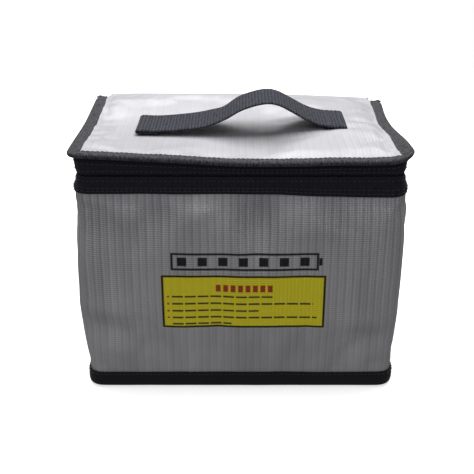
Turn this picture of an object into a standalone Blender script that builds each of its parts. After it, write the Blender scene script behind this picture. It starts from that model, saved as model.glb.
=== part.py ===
"""Soft fire-resistant battery case: a box of coated cloth with a lining, a zipped lid and a webbing handle.

Metres, +Z up. The origin is the centre of the underside, the front faces -Y, and the lid hinges along the
top of the back wall. Every piece that is sewn to another keeps SEAM_GAP to it.
"""

import math

import bmesh
import bpy

# Case
BODY_WIDTH = 0.207
BODY_DEPTH = 0.141
CASE_HEIGHT = 0.167
FRONT_CORNER_RADIUS = 0.009
BACK_CORNER_RADIUS = 0.006
CORNER_STEPS = 6

# Cloth and clearances
CLOTH_THICKNESS = 0.0012
LINING_THICKNESS = 0.0020
SEAM_GAP = 0.0003
MOVING_GAP = 0.0006

# Binding tapes
BASE_BINDING_HEIGHT = 0.0118
BASE_BINDING_RISE = 0.0003
BINDING_THICKNESS = 0.0008
LID_FLANGE = 0.0040
LID_BINDING_WIDTH = 0.0088

# Zip
ZIP_BAND_HEIGHT = 0.0240
ZIP_LINE_DROP = 0.0135
TAPE_THICKNESS = 0.0009
TAPE_RECESS = 0.0002
CHAIN_GAP = 0.0012
COIL_HEIGHT = 0.0026
COIL_THICKNESS = 0.0012
END_TAB_LENGTH = 0.0050
END_TAB_HEIGHT = 0.0085

# Zip sliders
SLIDER_LENGTH = 0.0120
SLIDER_HEIGHT = 0.0084
SLIDER_PLATE = 0.0012
SLIDER_WEB = 0.0006
SLIDER_FLANGE = 0.0007
MEETING_Y = 0.0100
BAIL_WIDTH = 0.0022
BAIL_BAR = 0.0008
BAIL_EYE_DEPTH = 0.0018
BAIL_EYE_LENGTH = 0.0052
PULL_THICKNESS = 0.0011
PULL_WIDTH = 0.0060
PULL_LENGTH = 0.0185
PULL_FRAME = 0.0012
PULL_WINDOW_LENGTH = 0.0044

# Lid hinge
HINGE_FOLD_DEPTH = 0.0025
HINGE_CLEARANCE = 0.0006
BINDING_SETBACK = 0.0020

# Handle
STRAP_WIDTH = 0.0380
STRAP_THICKNESS = 0.0016
STRAP_CENTRE_Y = -0.0010
HANDLE_LEFT_X = -0.0700
HANDLE_RIGHT_X = 0.0720
ARCH_LEFT_X = -0.0380
ARCH_PEAK_X = 0.0180
ARCH_RIGHT_X = 0.0640
ARCH_RISE = 0.0180
ARCH_SPLIT_RISE = 0.0090
FOLD_LENGTH = 0.0090
STRAP_STEPS = 14

# Worked out from the sizes above
HALF_WIDTH = BODY_WIDTH / 2
HALF_DEPTH = BODY_DEPTH / 2
WALL_TOP = CASE_HEIGHT - ZIP_BAND_HEIGHT
ZIP_LINE = CASE_HEIGHT - ZIP_LINE_DROP
LID_UNDERSIDE = CASE_HEIGHT - CLOTH_THICKNESS
SEWN_TOP = LID_UNDERSIDE - SEAM_GAP
FLOOR_TOP = CLOTH_THICKNESS + SEAM_GAP
LINING_OUT = CLOTH_THICKNESS + SEAM_GAP
LINING_IN = LINING_OUT + LINING_THICKNESS
TAPE_IN = TAPE_RECESS + TAPE_THICKNESS
COIL_OUT = TAPE_IN + SEAM_GAP
COIL_IN = COIL_OUT + COIL_THICKNESS
SLIDER_OUT = TAPE_RECESS - SEAM_GAP
SLIDER_IN = COIL_IN + SEAM_GAP
LINING_TOP = ZIP_LINE - SLIDER_HEIGHT / 2 - MOVING_GAP
HINGE_Y = HALF_DEPTH - CLOTH_THICKNESS / 2
HINGE_Z = CASE_HEIGHT - CLOTH_THICKNESS / 2
LID_BACK_Y = HALF_DEPTH - HINGE_FOLD_DEPTH - HINGE_CLEARANCE
BACK_HALF_WIDTH = HALF_WIDTH - BACK_CORNER_RADIUS - SEAM_GAP
SIDE_END_Y = HALF_DEPTH - BACK_CORNER_RADIUS


def clear_scene():
    for old in list(bpy.data.objects):
        bpy.data.objects.remove(old, do_unlink=True)


def material(name, colour, roughness, metallic=0.0):
    made = bpy.data.materials.new(name)
    made.use_nodes = True
    shader = made.node_tree.nodes["Principled BSDF"]
    shader.inputs["Base Color"].default_value = (*colour, 1.0)
    shader.inputs["Roughness"].default_value = roughness
    shader.inputs["Metallic"].default_value = metallic
    made.diffuse_color = (*colour, 1.0)
    return made


def finish(bm, name, finish_material, round_shape=False):
    """Turns a bmesh into a named object with outward faces."""
    bmesh.ops.recalc_face_normals(bm, faces=bm.faces)
    mesh = bpy.data.meshes.new(name)
    bm.to_mesh(mesh)
    bm.free()
    made = bpy.data.objects.new(name, mesh)
    bpy.context.scene.collection.objects.link(made)
    mesh.materials.append(finish_material)
    if round_shape:
        mesh.shade_smooth()
        mesh.set_sharp_from_angle(angle=math.radians(35))
    return made


def arc(centre, radius, start, end):
    """Points of a round corner, both ends included."""
    angles = [start + (end - start) * i / CORNER_STEPS for i in range(CORNER_STEPS + 1)]
    return [(centre[0] + radius * math.cos(a), centre[1] + radius * math.sin(a)) for a in angles]


def front_arcs(inset):
    """The two front corners of the case's outline, left then right, drawn inset from its outer face."""
    radius = FRONT_CORNER_RADIUS - inset
    x = HALF_WIDTH - FRONT_CORNER_RADIUS
    y = -HALF_DEPTH + FRONT_CORNER_RADIUS
    left = arc((-x, y), radius, math.pi, 1.5 * math.pi)
    right = arc((x, y), radius, 1.5 * math.pi, 2 * math.pi)
    return left + right


def back_arcs(inset):
    """The two back corners, right then left."""
    radius = BACK_CORNER_RADIUS - inset
    x = HALF_WIDTH - BACK_CORNER_RADIUS
    y = HALF_DEPTH - BACK_CORNER_RADIUS
    right = arc((x, y), radius, 0.0, 0.5 * math.pi)
    left = arc((-x, y), radius, 0.5 * math.pi, math.pi)
    return right + left


def around_front(inset, end_y):
    """Left side, front and right side, ending at end_y on both sides."""
    x = HALF_WIDTH - inset
    return [(-x, end_y)] + front_arcs(inset) + [(x, end_y)]


def around_front_and_back_corners(inset):
    """As around_front, and round both back corners to the back wall."""
    back = back_arcs(inset)
    half = len(back) // 2
    return back[half:] + front_arcs(inset) + back[:half]


def outline(inset):
    """The whole outline, closed."""
    return front_arcs(inset) + back_arcs(inset)


def sweep(name, path, profile, finish_material, closed=False):
    """A strip along path(inset), whose section is a list of (inset, z)."""
    bm = bmesh.new()
    rails = [[bm.verts.new((x, y, z)) for x, y in path(inset)] for inset, z in profile]
    stations = len(rails[0])
    sides = len(rails)
    for side in range(sides):
        near, far = rails[side], rails[(side + 1) % sides]
        for i in range(stations if closed else stations - 1):
            j = (i + 1) % stations
            bm.faces.new((near[i], near[j], far[j], far[i]))
    if not closed:
        bm.faces.new([rail[0] for rail in rails])
        bm.faces.new([rail[-1] for rail in rails])
    bmesh.ops.triangulate(bm, faces=[f for f in bm.faces if len(f.verts) > 4])
    return finish(bm, name, finish_material, round_shape=True)


def slab(name, points, low, high, finish_material):
    """A flat piece of cloth with the outline points, from low to high."""
    bm = bmesh.new()
    floor = [bm.verts.new((x, y, low)) for x, y in points]
    base = bm.faces.new(floor)
    lifted = bmesh.ops.extrude_face_region(bm, geom=[base])
    top = [item for item in lifted["geom"] if isinstance(item, bmesh.types.BMVert)]
    bmesh.ops.translate(bm, verts=top, vec=(0, 0, high - low))
    return finish(bm, name, finish_material)


def rectangle(inner, low, outer, high):
    """A strip's section: insets inner to outer, heights low to high."""
    return [(inner, low), (outer, low), (outer, high), (inner, high)]


def box_into(bm, low, high):
    corners = [(x, y, z) for x in (low[0], high[0]) for y in (low[1], high[1]) for z in (low[2], high[2])]
    points = [bm.verts.new(corner) for corner in corners]
    for face in ((0, 1, 3, 2), (4, 6, 7, 5), (0, 4, 5, 1), (2, 3, 7, 6), (0, 2, 6, 4), (1, 5, 7, 3)):
        bm.faces.new([points[i] for i in face])


def box(name, low, high, finish_material):
    bm = bmesh.new()
    box_into(bm, low, high)
    return finish(bm, name, finish_material)


def walls(silver, lining):
    """Front and sides in one length of cloth, a back wall, a floor, and the same again as the lining."""
    sweep("outer_wall", around_front_and_back_corners,
          rectangle(0.0, FLOOR_TOP, CLOTH_THICKNESS, WALL_TOP), silver)
    box("back_panel", (-BACK_HALF_WIDTH, HALF_DEPTH - CLOTH_THICKNESS, FLOOR_TOP),
        (BACK_HALF_WIDTH, HALF_DEPTH, SEWN_TOP), silver)
    slab("base_panel", outline(0.0), 0.0, CLOTH_THICKNESS, silver)
    sweep("lining_wall", around_front_and_back_corners,
          rectangle(LINING_OUT, FLOOR_TOP, LINING_IN, LINING_TOP), lining)
    box("back_lining", (-BACK_HALF_WIDTH, HALF_DEPTH - LINING_IN, FLOOR_TOP),
        (BACK_HALF_WIDTH, HALF_DEPTH - LINING_OUT, SEWN_TOP - LINING_THICKNESS - MOVING_GAP), lining)
    slab("base_lining", outline(LINING_IN + SEAM_GAP), FLOOR_TOP, FLOOR_TOP + LINING_THICKNESS, lining)


def base_binding(black):
    outer = -SEAM_GAP - BINDING_THICKNESS
    sweep("base_binding", outline, rectangle(outer, BASE_BINDING_RISE, -SEAM_GAP, BASE_BINDING_HEIGHT),
          black, closed=True)


def zip_chain(black):
    """Two tapes edge to edge round the front, each with a coil behind its edge, and a tab over each end."""
    half_gap = CHAIN_GAP / 2
    body_edge, lid_edge = ZIP_LINE - half_gap, ZIP_LINE + half_gap

    side_end = SIDE_END_Y - SEAM_GAP

    def coil_path(inset):
        return around_front(inset, side_end)

    sweep("body_zip_tape", around_front_and_back_corners,
          rectangle(TAPE_RECESS, WALL_TOP + SEAM_GAP, TAPE_IN, body_edge), black)
    sweep("body_zip_coil", coil_path,
          rectangle(COIL_OUT, body_edge - COIL_HEIGHT, COIL_IN, body_edge), black)
    sweep("lid_zip_tape", coil_path, rectangle(TAPE_RECESS, lid_edge, TAPE_IN, SEWN_TOP), black)
    sweep("lid_zip_coil", coil_path, rectangle(COIL_OUT, lid_edge, COIL_IN, lid_edge + COIL_HEIGHT), black)
    tab_out = HALF_WIDTH - SLIDER_OUT + BINDING_THICKNESS
    for name, side in (("left_zip_end_tab", -1), ("right_zip_end_tab", 1)):
        ends = sorted((side * (HALF_WIDTH - SLIDER_OUT), side * tab_out))
        box(name, (ends[0], side_end - END_TAB_LENGTH, body_edge - END_TAB_HEIGHT),
            (ends[1], side_end, body_edge), black)


def corner_gussets(black):
    """Where the chain ends, a gusset closes each back corner from the body's tape up to the lid's flange."""
    section = rectangle(TAPE_RECESS, ZIP_LINE - CHAIN_GAP / 2 + SEAM_GAP, TAPE_IN,
                        SEWN_TOP - BINDING_THICKNESS - SEAM_GAP)
    half = CORNER_STEPS + 1
    sweep("right_corner_gusset", lambda inset: back_arcs(inset)[:half], section, black)
    sweep("left_corner_gusset", lambda inset: back_arcs(inset)[half:], section, black)


def lid(silver, lining, black):
    """A flat panel that stands out past the walls, its lining, and a binding folded round three edges.

    The binding stops BINDING_SETBACK short of the panel's back edge, so that it clears the corners when open.
    """
    panel_inset = -LID_FLANGE + BINDING_THICKNESS + SEAM_GAP
    panel = around_front(panel_inset, LID_BACK_Y)
    slab("lid_panel", panel, LID_UNDERSIDE, CASE_HEIGHT, silver)
    lining_back = HALF_DEPTH - LINING_IN - SEAM_GAP - MOVING_GAP
    slab("lid_lining", around_front(TAPE_IN + SEAM_GAP, lining_back),
         SEWN_TOP - LINING_THICKNESS, SEWN_TOP, lining)
    low = SEWN_TOP - BINDING_THICKNESS
    high = CASE_HEIGHT + SEAM_GAP + BINDING_THICKNESS
    under_in = TAPE_RECESS - SEAM_GAP
    section = [(-LID_FLANGE, low), (under_in, low), (under_in, SEWN_TOP),
               (panel_inset - SEAM_GAP, SEWN_TOP), (panel_inset - SEAM_GAP, CASE_HEIGHT + SEAM_GAP),
               (LID_BINDING_WIDTH - LID_FLANGE, CASE_HEIGHT + SEAM_GAP),
               (LID_BINDING_WIDTH - LID_FLANGE, high), (-LID_FLANGE, high)]
    sweep("lid_binding", lambda inset: around_front(inset, LID_BACK_Y - BINDING_SETBACK), section, black)


def hinge_fold(silver):
    """The bend of cloth that joins the back wall to the lid. The hinge axis runs inside its outer edge."""
    low = CASE_HEIGHT - CLOTH_THICKNESS
    front = HALF_DEPTH - HINGE_FOLD_DEPTH
    round_end = [(HINGE_Y + CLOTH_THICKNESS / 2 * math.cos(a), HINGE_Z + CLOTH_THICKNESS / 2 * math.sin(a))
                 for a in (math.radians(-90 + 30 * i) for i in range(7))]
    section = [(front, low)] + round_end + [(front, CASE_HEIGHT)]
    bm = bmesh.new()
    start = bm.faces.new([bm.verts.new((-BACK_HALF_WIDTH, y, z)) for y, z in section])
    pulled = bmesh.ops.extrude_face_region(bm, geom=[start])
    moved = [item for item in pulled["geom"] if isinstance(item, bmesh.types.BMVert)]
    bmesh.ops.translate(bm, verts=moved, vec=(2 * BACK_HALF_WIDTH, 0, 0))
    return finish(bm, "hinge_fold", silver)


def arch_share(x):
    """How far up its arch the strap is at x, from 0 on the lid to 1 at the peak."""
    foot = ARCH_LEFT_X if x < ARCH_PEAK_X else ARCH_RIGHT_X
    along = (x - foot) / (ARCH_PEAK_X - foot)
    return 0.5 - 0.5 * math.cos(math.pi * max(0.0, min(1.0, along)))


def split_x(foot):
    """Where the strap is ARCH_SPLIT_RISE up, on the side of that foot."""
    share = math.acos(1.0 - 2.0 * ARCH_SPLIT_RISE / ARCH_RISE) / math.pi
    return foot + (ARCH_PEAK_X - foot) * share


def strap_column(x, lift=0.0):
    """The strap's (x, bottom, top) at x."""
    step = 1e-5
    slope = ARCH_RISE * (arch_share(x + step) - arch_share(x - step)) / (2 * step)
    bottom = CASE_HEIGHT + SEAM_GAP + lift + ARCH_RISE * arch_share(x)
    return x, bottom, bottom + STRAP_THICKNESS * math.sqrt(1 + slope * slope)


def strap(name, columns, finish_material):
    """A length of webbing across X, from its columns."""
    bm = bmesh.new()
    front, back = STRAP_CENTRE_Y - STRAP_WIDTH / 2, STRAP_CENTRE_Y + STRAP_WIDTH / 2
    rings = [[bm.verts.new(point) for point in ((x, front, low), (x, back, low), (x, back, high), (x, front, high))]
             for x, low, high in columns]
    for here, there in zip(rings, rings[1:]):
        for side in range(4):
            bm.faces.new((here[side], here[(side + 1) % 4], there[(side + 1) % 4], there[side]))
    bm.faces.new(rings[0])
    bm.faces.new(rings[-1])
    return finish(bm, name, finish_material, round_shape=True)


def spread(start, end, steps):
    return [start + (end - start) * i / steps for i in range(steps + 1)]


def handle(webbing):
    """One strap sewn to the lid by its folded ends. Its arch sways, and the two low ends stay on the lid."""
    left_split, right_split = split_x(ARCH_LEFT_X), split_x(ARCH_RIGHT_X)
    arch = spread(left_split, right_split, 2 * STRAP_STEPS)
    strap("handle_strap", [strap_column(x) for x in arch], webbing)
    for name, end, foot, split, inward in (
        ("handle_left_end", HANDLE_LEFT_X, ARCH_LEFT_X, left_split, 1),
        ("handle_right_end", HANDLE_RIGHT_X, ARCH_RIGHT_X, right_split, -1),
    ):
        low = CASE_HEIGHT + SEAM_GAP
        fold_end = end + inward * FOLD_LENGTH
        folded = [(x, low, low + 2 * STRAP_THICKNESS) for x in (end, fold_end)]
        ramp_end = fold_end + inward * 2 * STRAP_THICKNESS
        rise = spread(foot, split - inward * SEAM_GAP, STRAP_STEPS)
        columns = folded + [strap_column(x) for x in [ramp_end] + rise]
        strap(name, columns, webbing)


def slider_body(name, centre_y, metal):
    """Outer and inner plates joined by a web between the tapes, with a bail for the pull on the outside."""
    outer_face = HALF_WIDTH - SLIDER_OUT
    inner_face = HALF_WIDTH - SLIDER_IN
    half_web, half_height = SLIDER_WEB / 2, SLIDER_HEIGHT / 2
    low = -half_height
    section = [
        (outer_face + SLIDER_PLATE, low), (outer_face + SLIDER_PLATE, half_height), (outer_face, half_height),
        (outer_face, half_web), (inner_face, half_web), (inner_face, half_height),
        (inner_face - SLIDER_PLATE, half_height), (inner_face - SLIDER_PLATE, low),
        (HALF_WIDTH - COIL_OUT, low), (HALF_WIDTH - COIL_OUT, low + SLIDER_FLANGE),
        (inner_face, low + SLIDER_FLANGE), (inner_face, -half_web), (outer_face, -half_web), (outer_face, low),
    ]
    bm = bmesh.new()
    start_y = centre_y - SLIDER_LENGTH / 2
    start = bm.faces.new([bm.verts.new((x, start_y, ZIP_LINE + z)) for x, z in section])
    pulled = bmesh.ops.extrude_face_region(bm, geom=[start])
    moved = [item for item in pulled["geom"] if isinstance(item, bmesh.types.BMVert)]
    bmesh.ops.translate(bm, verts=moved, vec=(0, SLIDER_LENGTH, 0))
    made = finish(bm, name, metal)
    bail = bail_shape(name + "_bail_shape", centre_y, outer_face + SLIDER_PLATE)
    joined = made.modifiers.new("bail", "BOOLEAN")
    joined.operation = "UNION"
    joined.solver = "EXACT"
    joined.object = bail
    return made


def bail_shape(name, centre_y, plate_face):
    """A low bridge along the direction of travel. Its feet sink into the plate, so that a union joins them."""
    half_eye = BAIL_EYE_LENGTH / 2
    eye_top = plate_face + BAIL_EYE_DEPTH
    sunk = plate_face - SLIDER_PLATE / 2
    outer = half_eye + BAIL_BAR
    section = [(sunk, -outer), (eye_top, -outer), (eye_top + BAIL_BAR, -outer + BAIL_BAR),
               (eye_top + BAIL_BAR, outer - BAIL_BAR), (eye_top, outer), (sunk, outer),
               (sunk, half_eye), (eye_top, half_eye), (eye_top, -half_eye), (sunk, -half_eye)]
    bm = bmesh.new()
    low = ZIP_LINE - BAIL_WIDTH / 2
    start = bm.faces.new([bm.verts.new((x, centre_y + y, low)) for x, y in section])
    pulled = bmesh.ops.extrude_face_region(bm, geom=[start])
    moved = [item for item in pulled["geom"] if isinstance(item, bmesh.types.BMVert)]
    bmesh.ops.translate(bm, verts=moved, vec=(0, 0, BAIL_WIDTH))
    bmesh.ops.recalc_face_normals(bm, faces=bm.faces)
    mesh = bpy.data.meshes.new(name)
    bm.to_mesh(mesh)
    bm.free()
    made = bpy.data.objects.new(name, mesh)
    bpy.context.scene.collection.objects.link(made)
    made.hide_render = True
    made.display_type = "WIRE"
    return made


def slider_pull(name, centre_y, towards, metal):
    """A flat tab with a window. Its end bar turns under the bail, about a vertical axis."""
    axis_x = HALF_WIDTH - SLIDER_OUT + SLIDER_PLATE + BAIL_EYE_DEPTH / 2
    half_thick, half_wide = PULL_THICKNESS / 2, PULL_WIDTH / 2
    bar = PULL_THICKNESS / 2
    outer = [(-bar, -half_wide), (PULL_LENGTH - half_wide / 2, -half_wide), (PULL_LENGTH, -half_wide / 2),
             (PULL_LENGTH, half_wide / 2), (PULL_LENGTH - half_wide / 2, half_wide), (-bar, half_wide)]
    window = half_wide - PULL_FRAME
    inner = [(bar, -window), (bar + PULL_WINDOW_LENGTH, -window), (bar + PULL_WINDOW_LENGTH, window),
             (bar, window)]
    bm = bmesh.new()
    layers = []
    for x in (-half_thick, half_thick):
        layers.append([[bm.verts.new((axis_x + x, centre_y + towards * y, ZIP_LINE + z)) for y, z in loop]
                       for loop in (outer, inner)])
    for low, high in zip(layers[0], layers[1]):
        for i in range(len(low)):
            j = (i + 1) % len(low)
            bm.faces.new((low[i], low[j], high[j], high[i]))
    for rim, hole in layers:
        bm.faces.new((rim[0], rim[1], hole[1], hole[0]))
        bm.faces.new((rim[1], rim[2], rim[3], rim[4], hole[2], hole[1]))
        bm.faces.new((rim[4], rim[5], hole[3], hole[2]))
        bm.faces.new((rim[5], rim[0], hole[0], hole[3]))
    bmesh.ops.triangulate(bm, faces=bm.faces)
    return finish(bm, name, metal)


def sliders(metal):
    """Two sliders nose to nose on the right-hand side. Each pull lies back along its slider's tail."""
    apart = SLIDER_LENGTH / 2 + SEAM_GAP
    for name, towards in (("front", -1), ("rear", 1)):
        centre_y = MEETING_Y + towards * apart
        slider_body(name + "_slider", centre_y, metal)
        slider_pull(name + "_slider_pull", centre_y, towards, metal)


def build():
    clear_scene()
    silver = material("silver_coated_cloth", (0.42, 0.42, 0.43), 0.45, 0.25)
    lining = material("glass_fibre_lining", (0.50, 0.50, 0.48), 0.80)
    black = material("black_polyester_tape", (0.012, 0.012, 0.015), 0.70)
    webbing = material("black_webbing", (0.030, 0.032, 0.036), 0.75)
    metal = material("black_enamelled_zinc", (0.020, 0.020, 0.022), 0.35, 0.3)
    walls(silver, lining)
    base_binding(black)
    zip_chain(black)
    corner_gussets(black)
    lid(silver, lining, black)
    hinge_fold(silver)
    handle(webbing)
    sliders(metal)


build()
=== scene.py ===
"""A soft battery case of silver coated glass cloth: a lined box with a zipped lid and a webbing handle."""
import math

import bmesh
import bpy
from mathutils import Matrix, Vector, noise


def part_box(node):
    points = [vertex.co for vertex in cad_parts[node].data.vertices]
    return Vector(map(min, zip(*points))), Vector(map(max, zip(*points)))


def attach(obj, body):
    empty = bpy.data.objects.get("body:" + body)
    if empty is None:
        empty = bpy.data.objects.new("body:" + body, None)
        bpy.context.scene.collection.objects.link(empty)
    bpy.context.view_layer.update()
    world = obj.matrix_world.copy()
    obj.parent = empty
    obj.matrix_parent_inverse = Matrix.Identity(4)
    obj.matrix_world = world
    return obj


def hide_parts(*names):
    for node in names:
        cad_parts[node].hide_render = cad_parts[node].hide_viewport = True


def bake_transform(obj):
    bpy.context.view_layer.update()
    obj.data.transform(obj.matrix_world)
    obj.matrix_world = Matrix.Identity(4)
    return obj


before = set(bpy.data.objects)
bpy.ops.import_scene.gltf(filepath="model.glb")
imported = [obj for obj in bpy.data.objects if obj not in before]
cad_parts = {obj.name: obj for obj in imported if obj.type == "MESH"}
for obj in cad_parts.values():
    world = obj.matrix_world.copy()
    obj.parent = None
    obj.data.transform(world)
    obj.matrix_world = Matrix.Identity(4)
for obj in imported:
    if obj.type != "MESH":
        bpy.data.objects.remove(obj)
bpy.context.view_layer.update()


# ---------------------------------------------------------------------------------------------------------
# Camera. It stands in front of the case, a little left of its middle, and looks down at it.
# ---------------------------------------------------------------------------------------------------------
CAMERA_DISTANCE = 0.638
CAMERA_ELEVATION = math.radians(24.0)
CAMERA_LENS = 67.0

case_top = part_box("lid_panel")[1].z
look_at = Vector((-0.0023, -0.002, 0.49 * case_top))
back_off = Vector((0, -math.cos(CAMERA_ELEVATION), math.sin(CAMERA_ELEVATION))) * CAMERA_DISTANCE

bpy.ops.object.camera_add(location=look_at + back_off, rotation=(math.pi / 2 - CAMERA_ELEVATION, 0, 0))
camera = bpy.context.object
camera.data.lens = CAMERA_LENS
camera.data.clip_start = 0.01
bpy.context.scene.camera = camera


# ---------------------------------------------------------------------------------------------------------
# Studio. A plain pale floor, a big soft light overhead and behind, which makes the lid bright, and two weak
# ones in front, a high one that shows up the dents in the walls and a low wide one that fills them.
# ---------------------------------------------------------------------------------------------------------
OVERHEAD_POWER = 29.5
TOP_POWER = 1.6
FRONT_POWER = 1.75
FLOOR_REACH = 0.95
FLOOR_GLOW = 0.62
ROOM_GLOW = 0.22


def linear(hex_colour, alpha=1.0):
    """An sRGB hex colour as the linear values that shaders take."""
    channels = [int(hex_colour[i:i + 2], 16) / 255 for i in (1, 3, 5)]
    return [c / 12.92 if c <= 0.04045 else ((c + 0.055) / 1.055) ** 2.4 for c in channels] + [alpha]


def fill(tree, node, values):
    """Gives each of these inputs of a node a value, or a link from another node's output."""
    for socket, value in values.items():
        if isinstance(value, bpy.types.NodeSocket):
            tree.links.new(value, node.inputs[socket])
        else:
            node.inputs[socket].default_value = value


def add_node(tree, kind, links=(), output=0, **settings):
    """Adds a node, sets it up, fills its inputs, and gives its output."""
    node = tree.nodes.new("ShaderNode" + kind)
    for name, value in settings.items():
        setattr(node, name, value)
    fill(tree, node, dict(links))
    return node.outputs[output]


def new_material(name):
    """An empty material, its node tree and its Principled shader."""
    material = bpy.data.materials.new(name)
    material.use_nodes = True
    return material, material.node_tree, material.node_tree.nodes["Principled BSDF"]


def area_light(name, place, aim, size, power, height=None):
    """A soft rectangular light that faces the point it aims at."""
    bpy.ops.object.light_add(type="AREA", location=place)
    light = bpy.context.object
    light.name = name
    light.data.shape = "RECTANGLE"
    light.data.size = size
    light.data.size_y = height or size
    light.data.energy = power
    light.rotation_euler = (Vector(aim) - Vector(place)).to_track_quat("-Z", "Y").to_euler()


area_light("overhead", (0.0, 0.50, 1.25), (0, 0.10, 0.1), 1.5, OVERHEAD_POWER)
area_light("front_top", (-0.15, -0.75, 1.15), (0, 0, 0.08), 0.5, TOP_POWER)
area_light("front_fill", (-0.3, -1.5, 0.16), (0, 0, 0.04), 1.0, FRONT_POWER, 0.3)

bpy.ops.object.select_all(action="DESELECT")
bpy.ops.mesh.primitive_circle_add(vertices=96, radius=FLOOR_REACH, fill_type="NGON")
floor = bpy.context.object
floor.name = "floor"
floor_material, tree, shader = new_material("white_paper_sweep")
fill(tree, shader, {"Base Color": linear("#f4f4f4"), "Roughness": 0.9, "Emission Color": (1, 1, 1, 1),
                    "Emission Strength": FLOOR_GLOW})
floor.data.materials.append(floor_material)
floor.visible_diffuse = False
floor.visible_glossy = False

world = bpy.data.worlds.new("white_room")
bpy.context.scene.world = world
world.use_nodes = True
tree = world.node_tree
seen = add_node(tree, "LightPath", output="Is Camera Ray")
glow = add_node(tree, "MapRange", {"Value": seen, "To Min": ROOM_GLOW, "To Max": 1.0})
fill(tree, tree.nodes["Background"], {"Strength": glow, "Color": (1, 1, 1, 1)})
bpy.context.scene.view_settings.view_transform = "Standard"


# ---------------------------------------------------------------------------------------------------------
# Walls. One length of woven glass cloth with a silver coating, wrapped round the left side, the front and
# the right side, and sewn at the zip tape above and the binding below. Soft, so it bulges between its seams.
# ---------------------------------------------------------------------------------------------------------
CLOTH_THICKNESS = 0.0011
FRONT_RADIUS = 0.0090
BACK_RADIUS = 0.0060
WALL_CELL = 0.0030
WALL_FOOT = 0.0040
WALL_BULGE = 0.0036
SEAM_TURN = 0.0040
UNDER_THE_BACK = 1.15 * CLOTH_THICKNESS

half_width, half_depth, wall_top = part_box("outer_wall")[1]
band_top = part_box("base_binding")[1].z
CASE_OUTLINE = (half_width, -half_depth, FRONT_RADIUS, half_depth, BACK_RADIUS)


def corner_lengths(outline):
    """How far along the outline each stretch ends: front, front corner, side, back corner."""
    wide, front, front_radius, back, back_radius = outline
    front_end = wide - front_radius
    turn_end = front_end + front_radius * math.pi / 2
    side_end = turn_end + (back - back_radius) - (front + front_radius)
    return front_end, turn_end, side_end, side_end + back_radius * math.pi / 2


def round_the_case(s, out, outline=CASE_OUTLINE):
    """The (x, y) of a point s along the outline from the middle of the front, standing out from it."""
    wide, front, front_radius, back, back_radius = outline
    front_end, turn_end, side_end, wrap_end = corner_lengths(outline)
    along, right = abs(s), 1 if s >= 0 else -1
    if along <= front_end:
        return right * along, front - out
    if along <= turn_end:
        turn = (along - front_end) / front_radius
        reach = max(front_radius + out, 0.0003)
        x = wide - front_radius + reach * math.sin(turn)
        return right * x, front + front_radius - reach * math.cos(turn)
    if along <= side_end:
        return right * (wide + out), front + front_radius + along - turn_end
    if along <= wrap_end:
        turn = (along - side_end) / back_radius
        x = wide - back_radius + (back_radius + out) * math.cos(turn)
        return right * x, back - back_radius + (back_radius + out) * math.sin(turn)
    return right * (wide - back_radius - (along - wrap_end)), back + out


front_end, front_turned, side_end, wrap_end = corner_lengths(CASE_OUTLINE)


def flat_strip(name, start, end, low, high, cell, rows=None):
    """Cloth laid flat and upright: X runs along it, and it faces -Y. Its UV map is in metres."""
    bpy.ops.object.select_all(action="DESELECT")
    columns = max(1, round((end - start) / cell))
    rows = rows or max(1, round((high - low) / cell))
    bpy.ops.mesh.primitive_grid_add(x_subdivisions=columns, y_subdivisions=rows, size=1,
                                    location=((start + end) / 2, 0, (low + high) / 2),
                                    rotation=(math.pi / 2, 0, 0))
    strip = bpy.context.object
    strip.name = name
    strip.scale = (end - start, high - low, 1)
    bpy.ops.object.transform_apply()
    layer = strip.data.uv_layers.active
    for loop in strip.data.loops:
        point = strip.data.vertices[loop.vertex_index].co
        layer.data[loop.index].uv = (point.x, point.z)
    return strip


def move_points(piece, place):
    """Moves each of the mesh's points to where place puts it."""
    for vertex in piece.data.vertices:
        vertex.co = place(vertex.co)


def apply_modifiers(piece):
    """Selects the piece alone and applies its modifiers in order."""
    bpy.ops.object.select_all(action="DESELECT")
    bpy.context.view_layer.objects.active = piece
    piece.select_set(True)
    for modifier in list(piece.modifiers):
        bpy.ops.object.modifier_apply(modifier=modifier.name)


def thicken(piece, thickness, levels=1, offset=-1):
    """Gives the cloth its thickness, on its inner side unless told otherwise, and rounds it off."""
    solid = piece.modifiers.new("thickness", "SOLIDIFY")
    solid.thickness = thickness
    solid.offset = offset
    if levels:
        smooth = piece.modifiers.new("smooth", "SUBSURF")
        smooth.levels = smooth.render_levels = levels
    apply_modifiers(piece)
    bpy.ops.object.shade_smooth()


def settle_cloth(piece, sewn, pressure, frames, spare, reach):
    """Lets the cloth find its shape between the points that are sewn. No point moves further than reach."""
    before = [vertex.co.copy() for vertex in piece.data.vertices]
    group = piece.vertex_groups.new(name="sewn")
    group.add(sewn, 1.0, "REPLACE")
    cloth = piece.modifiers.new("cloth", "CLOTH")
    settings = cloth.settings
    settings.vertex_group_mass = "sewn"
    settings.quality = 6
    settings.mass = 0.25
    settings.tension_stiffness = settings.compression_stiffness = 25
    settings.shear_stiffness = 12
    settings.bending_stiffness = 1.2
    settings.use_pressure = True
    settings.uniform_pressure_force = pressure
    settings.shrink_min = -spare
    settings.effector_weights.gravity = 0
    cloth.collision_settings.use_collision = False
    for step in range(1, frames + 1):
        bpy.context.scene.frame_set(step)
    apply_modifiers(piece)
    bpy.context.scene.frame_set(1)
    for vertex, start in zip(piece.data.vertices, before):
        moved = vertex.co - start
        if moved.length > reach:
            vertex.co = start + moved * (reach / moved.length)


def smooth_step(value, low, high):
    """0 below low, 1 above high, and an even rise between them."""
    share = min(max((value - low) / (high - low), 0), 1)
    return share * share * (3 - 2 * share)


def ripple(x, y, seed):
    """Even noise from -1 to 1."""
    return noise.noise(Vector((x, y, seed)))


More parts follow.
